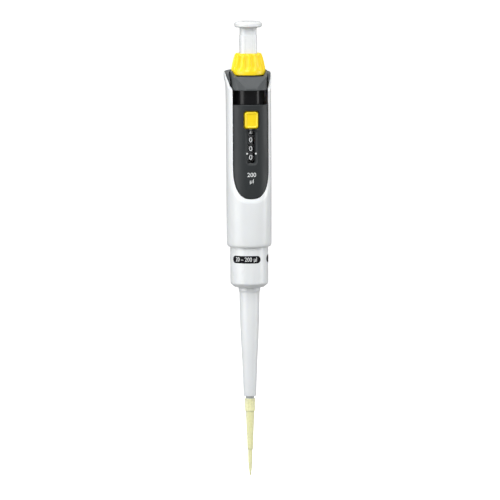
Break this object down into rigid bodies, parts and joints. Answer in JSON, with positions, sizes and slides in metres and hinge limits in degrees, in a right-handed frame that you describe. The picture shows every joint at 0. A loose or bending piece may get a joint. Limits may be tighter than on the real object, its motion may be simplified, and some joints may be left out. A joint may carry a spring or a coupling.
{
  "type": "adjustable micropipette",
  "caption": "Hand-held air-displacement micropipette with a volume wheel, pipetting key, tip ejector, digit counter and a fitted yellow tip.",
  "frame": {"origin": "on the long axis, in the plane of the tip's mouth", "axes": "+Z along the long axis towards the pipetting key; -Y out of the front panel; +Y towards the finger rest; +X to the right as seen from the front"},
  "size_m": [0.0308, 0.0479, 0.295],
  "materials": {
    "white_housing": "satin moulded white",
    "white_ejector": "satin moulded white",
    "white_key": "smooth moulded white",
    "grey_panel": "fine matt dark grey",
    "grey_key": "fine matt mid grey",
    "gloss_black": "polished black",
    "yellow_plastic": "satin yellow",
    "tip_plastic": "translucent pale yellow polypropylene",
    "clear_window": "clear, slightly smoked",
    "shaft_plastic": "smooth grey",
    "frame_plastic": "moulded dark grey",
    "drum_plastic": "matt black",
    "steel": "ground steel",
    "brass": "turned brass",
    "seal_rubber": "black rubber",
    "seal_white": "waxy white"
  },
  "bodies": {
    "handle": {"handle_housing": "white_housing", "calibration_cover": "white_housing", "front_panel": "grey_panel", "display_window": "clear_window", "finger_rest_cover": "grey_key", "inner_sleeve": "gloss_black", "mechanism_frame": "frame_plastic", "counter_sleeve": "frame_plastic", "bearing_plate": "frame_plastic", "counter_pillar_left": "steel", "counter_pillar_right": "steel", "stroke_nut": "brass", "blowout_seat": "steel", "blowout_spring": "steel", "rod_guide_bush": "brass", "tip_cone_shaft": "shaft_plastic", "coupling_nut": "frame_plastic", "piston_seal": "seal_white", "o_ring": "seal_rubber", "seal_retainer": "brass", "piston_spring": "steel", "ejector_spring": "steel"},
    "wheel_train": {"volume_wheel": "yellow_plastic", "wheel_hub": "frame_plastic", "drive_tube": "brass", "hub_retaining_ring": "steel"},
    "spindle": {"volume_spindle": "steel"},
    "hundreds_drum": {"digit_drum_hundreds": "drum_plastic"},
    "tens_drum": {"digit_drum_tens": "drum_plastic"},
    "ones_drum": {"digit_drum_ones": "drum_plastic"},
    "tenths_drum": {"digit_drum_tenths": "drum_plastic"},
    "key": {"key_cap": "white_key", "key_stem": "white_key", "piston_rod": "steel", "rod_collar": "brass", "piston": "steel", "piston_head": "frame_plastic"},
    "ejector": {"ejector_key": "grey_key", "ejector_rod": "steel", "ejector_spring_clip": "steel", "ejector_collar": "white_ejector", "ejector_sleeve": "white_ejector"},
    "tip": {"pipette_tip": "tip_plastic"},
    "lock": {"release_button": "yellow_plastic", "lock_tongue": "steel"}
  },
  "joints": [
    {"name": "volume_turn", "type": "hinge", "parent": "handle", "child": "wheel_train", "pos_m": [0, 0, 0.2676], "axis": [0, 0, -1], "range_deg": [0, 6480]},
    {"name": "spindle_travel", "type": "slide", "parent": "wheel_train", "child": "spindle", "axis": [0, 0, -1], "range_m": [0, 0.01125]},
    {"name": "hundreds_turn", "type": "hinge", "parent": "handle", "child": "hundreds_drum", "pos_m": [0, 0, 0.2247], "axis": [0, 0, -1], "range_deg": [0, 64.8]},
    {"name": "tens_turn", "type": "hinge", "parent": "handle", "child": "tens_drum", "pos_m": [0, 0, 0.2191], "axis": [0, 0, -1], "range_deg": [0, 648]},
    {"name": "ones_turn", "type": "hinge", "parent": "handle", "child": "ones_drum", "pos_m": [0, 0, 0.2135], "axis": [0, 0, -1], "range_deg": [0, 6480]},
    {"name": "tenths_turn", "type": "hinge", "parent": "handle", "child": "tenths_drum", "pos_m": [0, 0, 0.2079], "axis": [0, 0, -1], "range_deg": [0, 32400]},
    {"name": "key_press", "type": "slide", "parent": "wheel_train", "child": "key", "axis": [0, 0, -1], "range_m": [0, 0.0155], "stiffness_N_per_m": 350, "springref_m": -0.008, "deforming": ["piston_spring"]},
    {"name": "ejector_press", "type": "slide", "parent": "handle", "child": "ejector", "axis": [0, 0, -1], "range_m": [0, 0.007], "stiffness_N_per_m": 400, "springref_m": -0.005, "deforming": ["ejector_spring"]},
    {"name": "tip_release", "type": "slide", "parent": "ejector", "child": "tip", "axis": [0, 0, -1], "range_m": [0, 0.025]},
    {"name": "lock_press", "type": "slide", "parent": "handle", "child": "lock", "axis": [0, 1, 0], "range_m": [0, 0.0015], "stiffness_N_per_m": 800, "springref_m": -0.001}
  ],
  "couplings": [
    {"joint": "spindle_travel", "follows": "volume_turn", "m_per_rad": 0.000099472},
    {"joint": "hundreds_turn", "follows": "volume_turn", "ratio": 0.01},
    {"joint": "tens_turn", "follows": "volume_turn", "ratio": 0.1},
    {"joint": "ones_turn", "follows": "volume_turn", "ratio": 1},
    {"joint": "tenths_turn", "follows": "volume_turn", "ratio": 5}
  ]
}
